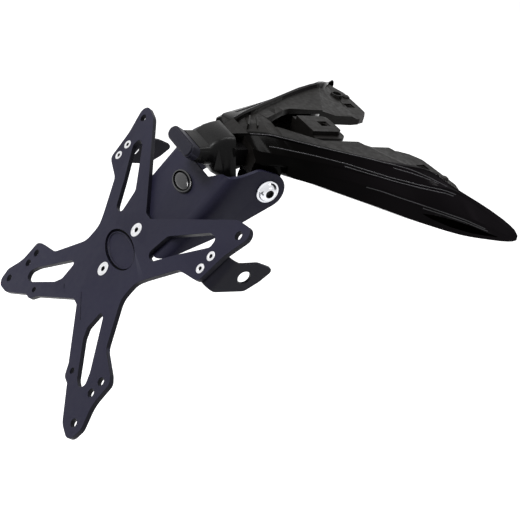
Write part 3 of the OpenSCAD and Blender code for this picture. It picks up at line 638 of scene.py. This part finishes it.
def node_tree(name, **inputs):
    """An empty geometry tree with these named inputs, its group input and its group output."""
    tree = bpy.data.node_groups.new(name, "GeometryNodeTree")
    tree.interface.new_socket("Geometry", in_out="INPUT", socket_type="NodeSocketGeometry")
    for label, kind in inputs.items():
        tree.interface.new_socket(label, in_out="INPUT", socket_type="NodeSocket" + kind)
    tree.interface.new_socket("Geometry", in_out="OUTPUT", socket_type="NodeSocketGeometry")
    return tree, tree.nodes.new("NodeGroupInput"), tree.nodes.new("NodeGroupOutput")


def bead_tree():
    """Node tree that lays a thin bead along the curves of its object."""
    tree, start, end = node_tree("bead", Radius="Float", Sides="Int", Material="Material")
    ring = tree.nodes.new("GeometryNodeCurvePrimitiveCircle")
    sweep = tree.nodes.new("GeometryNodeCurveToMesh")
    sweep.inputs["Fill Caps"].default_value = True
    real = tree.nodes.new("GeometryNodeRealizeInstances")
    paint = tree.nodes.new("GeometryNodeSetMaterial")
    for out, into in (
        (start.outputs["Sides"], ring.inputs["Resolution"]),
        (start.outputs["Radius"], ring.inputs["Radius"]),
        (start.outputs["Geometry"], sweep.inputs["Curve"]),
        (ring.outputs["Curve"], sweep.inputs["Profile Curve"]),
        (sweep.outputs["Mesh"], real.inputs["Geometry"]),
        (real.outputs["Geometry"], paint.inputs["Geometry"]),
        (start.outputs["Material"], paint.inputs["Material"]),
        (paint.outputs["Geometry"], end.inputs["Geometry"]),
    ):
        tree.links.new(out, into)
    return tree


def grown(piece, tree, **values):
    """Gives a piece its node tree, with the tree's inputs set by name."""
    growth = piece.modifiers.new("growth", "NODES")
    growth.node_group = tree
    for item in tree.interface.items_tree:
        if item.in_out == "INPUT" and item.name in values:
            growth[item.identifier] = values[item.name]
    graph = bpy.context.evaluated_depsgraph_get()
    mesh = bpy.data.meshes.new_from_object(piece.evaluated_get(graph))
    name = piece.name
    bpy.data.objects.remove(piece)
    mesh.name = name
    return link(name, mesh)


def curves(name, paths):
    """Object of open poly curves through the given points."""
    data = bpy.data.curves.new(name, "CURVE")
    data.dimensions = "3D"
    for path in paths:
        line = data.splines.new("POLY")
        line.points.add(len(path) - 1)
        for point, at in zip(line.points, path):
            point.co = (*at, 1.0)
    return link(name, data)


def crease_beads():
    """Fine raised creases along both sides of the shell, in a lighter material as painted highlight."""
    tree = bead_tree()
    paths = []
    for crease in CREASES:
        first, last = crease[0][0], crease[-1][0]
        steps = max(6, int((last - first) / CREASE_STEP))
        for side in (-1, 1):
            paths.append([side_point(x, level(crease, x, 1), side)
                          for x in (first + (last - first) * i / steps for i in range(steps + 1))])
    # The beads' lighter material is a painted highlight along the creases
    piece = grown(curves("crease_beads", paths), tree, Radius=CREASE_RADIUS * MM, Sides=8, Material=CREASE_HIGHLIGHT)
    smoothed(piece.data, 60)
    seat(piece, "tail", "shell_gloss", CREASE_HIGHLIGHT)


def socket_head(profile, across, floor, steps):
    """A turned fastener about +Z, closed by a hexagon socket at its profile's end, with slot 1 inside it."""
    bm = revolved(profile, steps)
    rim = [v for v in bm.verts if v.is_boundary]
    rim.sort(key=lambda v: math.atan2(v.co.y, v.co.x))
    top = profile[-1][1]
    loops = [rim]
    for depth in (top - SOCKET_CHAMFER, floor):
        ring = []
        for v in rim:
            a = math.atan2(v.co.y, v.co.x)
            part = (a + math.pi / 6) % (math.pi / 3) - math.pi / 6
            radius = across / 2 / math.cos(part)
            ring.append(bm.verts.new((radius * MM * math.cos(a), radius * MM * math.sin(a), depth * MM)))
        loops.append(ring)
    foot = bm.verts.new((0, 0, (floor - SOCKET_POINT) * MM))
    for low, high in zip(loops, loops[1:]):
        for i in range(steps):
            j = (i + 1) % steps
            bm.faces.new((low[i], high[i], high[j], low[j])).material_index = 1
    for i in range(steps):
        bm.faces.new((loops[-1][i], foot, loops[-1][(i + 1) % steps])).material_index = 1
    bmesh.ops.recalc_face_normals(bm, faces=bm.faces)
    return bm


def pivot_head(side, material):
    """Polished flanged button head and its shank."""
    shank = [(0, -22), (3.6, -22), (4.0, -21.5), (4.0, 0.0)]
    flange = [(8.7, 0.0), (9.0, 0.25), (9.0, 0.95), (8.75, 1.25), (7.6, 1.35)]
    button = [(7.35, 1.7), (7.0, 2.5), (6.4, 3.3), (5.5, 4.0), (4.6, 4.45), (3.8, 4.7), (3.35, 4.75)]
    profile = shank + flange + button
    bm = socket_head(profile, across=5.3, floor=1.7, steps=72)
    sign = 1 if side == "left" else -1
    bm.transform(Matrix.Translation(PIVOT * MM) @ Matrix.Rotation(-sign * math.pi / 2, 4, "X")
                 @ Matrix.Translation((0, 0, PIVOT_SEAT * MM)))
    mesh = bpy.data.meshes.new("pivot_head_" + side)
    bm.to_mesh(mesh)
    bm.free()
    smoothed(mesh, 32)
    for finish in (material, SHADE):
        mesh.materials.append(finish)
    seat(link("pivot_head_" + side, mesh), "tail", "polished_bolt", material, "pivot_bolt_" + side)


def screw_tree():
    """Node tree that stands one screw on every point of its object."""
    tree, start, end = node_tree("screws", Screw="Object", Finish="Material", Socket="Material")
    source = tree.nodes.new("GeometryNodeObjectInfo")
    stand = tree.nodes.new("GeometryNodeInstanceOnPoints")
    real = tree.nodes.new("GeometryNodeRealizeInstances")
    body = tree.nodes.new("GeometryNodeSetMaterial")
    inner = tree.nodes.new("GeometryNodeSetMaterial")
    pick = tree.nodes.new("GeometryNodeInputNamedAttribute")
    pick.data_type = "BOOLEAN"
    pick.inputs["Name"].default_value = "socket"
    for out, into in (
        (start.outputs["Screw"], source.inputs["Object"]),
        (start.outputs["Geometry"], stand.inputs["Points"]),
        (source.outputs["Geometry"], stand.inputs["Instance"]),
        (stand.outputs["Instances"], real.inputs["Geometry"]),
        (real.outputs["Geometry"], body.inputs["Geometry"]),
        (start.outputs["Finish"], body.inputs["Material"]),
        (body.outputs["Geometry"], inner.inputs["Geometry"]),
        (start.outputs["Socket"], inner.inputs["Material"]),
        (pick.outputs["Attribute"], inner.inputs["Selection"]),
        (inner.outputs["Geometry"], end.inputs["Geometry"]),
    ):
        tree.links.new(out, into)
    return tree


def plate_screws(name, tree, shank, head, length, across, spots, nodes):
    """Countersunk socket screws at (y, v) spots of the carrier's rear face."""
    lip = across / 2 + 0.55
    profile = [(0, -length), (shank - 0.4, -length), (shank, -length + 0.5), (shank, shank - head),
               (head - 0.1, -0.12), (head - 0.05, 0.0), (head - 0.3, 0.06), (lip + 0.3, 0.06), (lip, -0.02)]
    bm = socket_head(profile, across, floor=-(head - shank) * 0.8, steps=48)
    bm.transform(plate_frame().to_3x3().to_4x4() @ Matrix.Rotation(-math.pi / 2, 4, "Y"))
    mesh = bpy.data.meshes.new(name)
    bm.to_mesh(mesh)
    bm.free()
    smoothed(mesh, 32)
    mark = mesh.attributes.new("socket", "BOOLEAN", "FACE")
    for item, face in zip(mark.data, mesh.polygons):
        item.value = face.material_index == 1
    pattern = link("screw_pattern", mesh)
    points = bpy.data.meshes.new(name)
    points.from_pydata([plate_frame() @ (Vector((0, y, v)) * MM) for y, v in spots], [], [])
    piece = grown(link(name, points), tree, Screw=pattern, Finish=ZINC, Socket=SHADE)
    bpy.data.objects.remove(pattern)
    seat(piece, "arm", "bright_screw", ZINC, *nodes)


def carrier():
    """The carrier plate, with its cut edges darker and its oval groove dark as painted shade, and a stepped
    oval recess left bare.
    """
    bm = merged("plate_carrier")
    into = plate_frame().inverted()
    floor = []
    for face in bm.faces:
        c = into @ face.calc_center_median() / MM
        in_oval = math.hypot(c.y / RECESS_HALF_W, c.z / RECESS_HALF_H) < 0.9
        if abs(c.x - RECESS_DEEP) < 0.1 and in_oval and face.calc_area() > 10 * MM * MM:
            floor.append(face)
    # Each ring's width and its rise: wall, groove, wall, ledge, and the step down to the floor
    rings = []
    for width, rise in ((0.25, -1.1), (1.1, 0.0), (0.25, 0.9), (1.0, 0.0), (0.5, -0.9)):
        made = bmesh.ops.inset_region(bm, faces=floor, thickness=width * MM, depth=rise * MM,
                                      use_even_offset=True)
        rings.append({tuple(face.calc_center_median()) for face in made["faces"]})
    # Slot 1 is a darker copy of the coat for the cut edges and slot 2 the dark groove lacquer, both painted
    # shade
    cut_shade_slot, groove_shade_slot = 1, 2
    for face in bm.faces:
        if tuple(face.calc_center_median()) in rings[1]:
            face.material_index = groove_shade_slot
    piece = finished(bm, "carrier_plate", bevel=0.22, angle=35, soft=35)
    for material in (COAT, CUT_SHADE, GROOVE_SHADE):
        piece.data.materials.append(material)
    baked(piece)
    turn = into.to_3x3()
    facing = plate_frame().to_3x3() @ Vector((1, 0, 0))
    normals = [item.vector.copy() for item in piece.data.corner_normals]
    for face in piece.data.polygons:
        # 1 where a face lies flat with the plate, 0 on its cut edges
        flatness = abs((turn @ face.normal).x)
        if flatness < 0.6:
            face.material_index = max(cut_shade_slot, face.material_index)
        elif flatness > 0.95:
            for k in face.loop_indices:
                normals[k] = facing if face.normal.dot(facing) > 0 else -facing
    piece.data.normals_split_custom_set(normals)
    seat(piece, "arm", "coated_steel", COAT, "plate_carrier")


def badge(rim, face_finish):
    """Oval plaque with a raised edge, a groove painted dark as shade and a low dome, left bare."""
    edge = [(1.0, 1.0, 0.0), (1.0, 1.0, -1.3), (0.985, 0.975, -1.75), (0.95, 0.92, -1.95), (0.90, 0.84, -1.9)]
    groove = [(0.885, 0.81, -0.9), (0.80, 0.70, -0.85), (0.785, 0.68, -1.5)]
    dome = [(0.76, 0.65, -1.8), (0.6, 0.5, -2.2), (0.3, 0.25, -2.4)]
    dome_top = -2.45
    steps = 72
    bm = bmesh.new()
    loops = []
    for wide, high, depth in edge + groove + dome:
        loops.append([bm.verts.new(((PLATE_T + depth) * MM, -BADGE_HALF_W * wide * MM * math.cos(a),
                                    (BADGE_V + BADGE_HALF_H * high * math.sin(a)) * MM))
                      for a in (2 * math.pi * i / steps for i in range(steps))])
    # Groove faces take the first material, the darker copy as painted shade
    for row, (low, high) in enumerate(zip(loops, loops[1:])):
        in_groove = len(edge) - 1 <= row < len(edge) + len(groove) - 1
        for i in range(steps):
            j = (i + 1) % steps
            bm.faces.new((low[i], low[j], high[j], high[i])).material_index = 0 if in_groove else 1
    bm.faces.new(loops[0])
    crown = bm.verts.new(((PLATE_T + dome_top) * MM, 0, BADGE_V * MM))
    for i in range(steps):
        bm.faces.new((loops[-1][i], loops[-1][(i + 1) % steps], crown)).material_index = 1
    bmesh.ops.recalc_face_normals(bm, faces=bm.faces)
    bm.transform(plate_frame())
    mesh = bpy.data.meshes.new("badge_dome")
    bm.to_mesh(mesh)
    bm.free()
    smoothed(mesh, 40)
    for material in (rim, face_finish):
        mesh.materials.append(material)
    seat(link("badge_dome", mesh), "arm", "badge_dark", rim, "arm_badge")


# Camera and light

bpy.context.scene.view_settings.view_transform = "Standard"
make_camera()
stage_and_light()

# Finishes

GLOSS = gloss_shell()
GLOSS_HIGHLIGHT = painted_highlight_edge("gloss_edge", (0.005, 0.005, 0.006), (0.016, 0.0155, 0.018), 0.03)
CREASE_HIGHLIGHT = painted_highlight_edge("crease_edge", (0.016, 0.0155, 0.018), (0.05, 0.047, 0.055), 0.4)
DECK = satin_deck()
RECESS_SHADE = recess_shade()
DECK_HIGHLIGHT = painted_highlight_edge("satin_edge", (0.014, 0.0125, 0.0115), (0.045, 0.041, 0.038), 0.3)
NECK = satin_neck()
COAT = satin_coat()
CASE = satin_coat("light_case", 0.45)
# A darker copy of the coat, as painted shade on the carrier's cut edges
CUT_SHADE = satin_coat("cut_edge", 0.3)
# The ears take a darker, less blue copy of the coat, as painted shade
EAR_SHADE = satin_coat("ear_coat", 0.6, 0.7)
ZINC = bright_zinc()
SHADE = socket_dark()
STEEL = polished_steel()
# Darker copy of the badge lacquer, as painted shade in the grooves
GROOVE_SHADE = dark_dome("badge_rim", 0.4, 0.02)
DOME_FACE = dark_dome("badge_dome", 3.0, 0.6)
LENS = clear_lens()
BOARD = lamp_board()
NYLON = black_nylon()
BRASS = insert_brass()

# Pieces

shell_pieces()
crease_beads()
neck = solid_copy("light_housing", "light_neck", bevel=0.4, angle=22, soft=30)
seat(neck, "tail", "light_satin", NECK, "light_housing")
case = solid_copy("light_body", "light_case", bevel=0.9, angle=40, soft=35)
seat(case, "tail", "light_case", CASE, "light_body")
carrier()
SCREWS = screw_tree()
plate_screws("arm_screws", SCREWS, shank=3.0, head=5.75, length=14.0, across=3.2,
             spots=[(0, ARM_SCREW_V), (0, -ARM_SCREW_V)],
             nodes=["arm_screw_upper", "arm_screw_lower"])
plate_screws("ear_screws", SCREWS, shank=2.0, head=3.75, length=11.0, across=2.2,
             spots=[(s * EAR_SCREW_Y, v) for s in (-1, 1) for v in EAR_SCREW_V],
             nodes=["bracket_screw_" + spot
                    for spot in ("right_upper", "right_lower", "left_upper", "left_lower")])
folded = solid_copy("arm_bracket", "folded_arm", bevel=0.35, angle=35, soft=35)
seat(folded, "arm", "coated_steel", COAT, "arm_bracket")
for side in ("right", "left"):
    ear = solid_copy("indicator_bracket_" + side, "indicator_ear_" + side, bevel=0.3, angle=35, soft=35)
    seat(ear, "arm", "coated_steel", EAR_SHADE, "indicator_bracket_" + side)
    pivot_head(side, STEEL)
badge(GROOVE_SHADE, DOME_FACE)

# Finishes of the solids shown as they are, by the start of their names; the others are nuts and screws
FINISHES = {
    "light_lens": LENS,
    "light_board": BOARD,
    "pivot_washer": NYLON,
    "pivot_insert": BRASS,
}
for name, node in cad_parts.items():
    finish = next((m for key, m in FINISHES.items() if name.startswith(key)), ZINC)
    node.data.materials.clear()
    node.data.materials.append(finish)
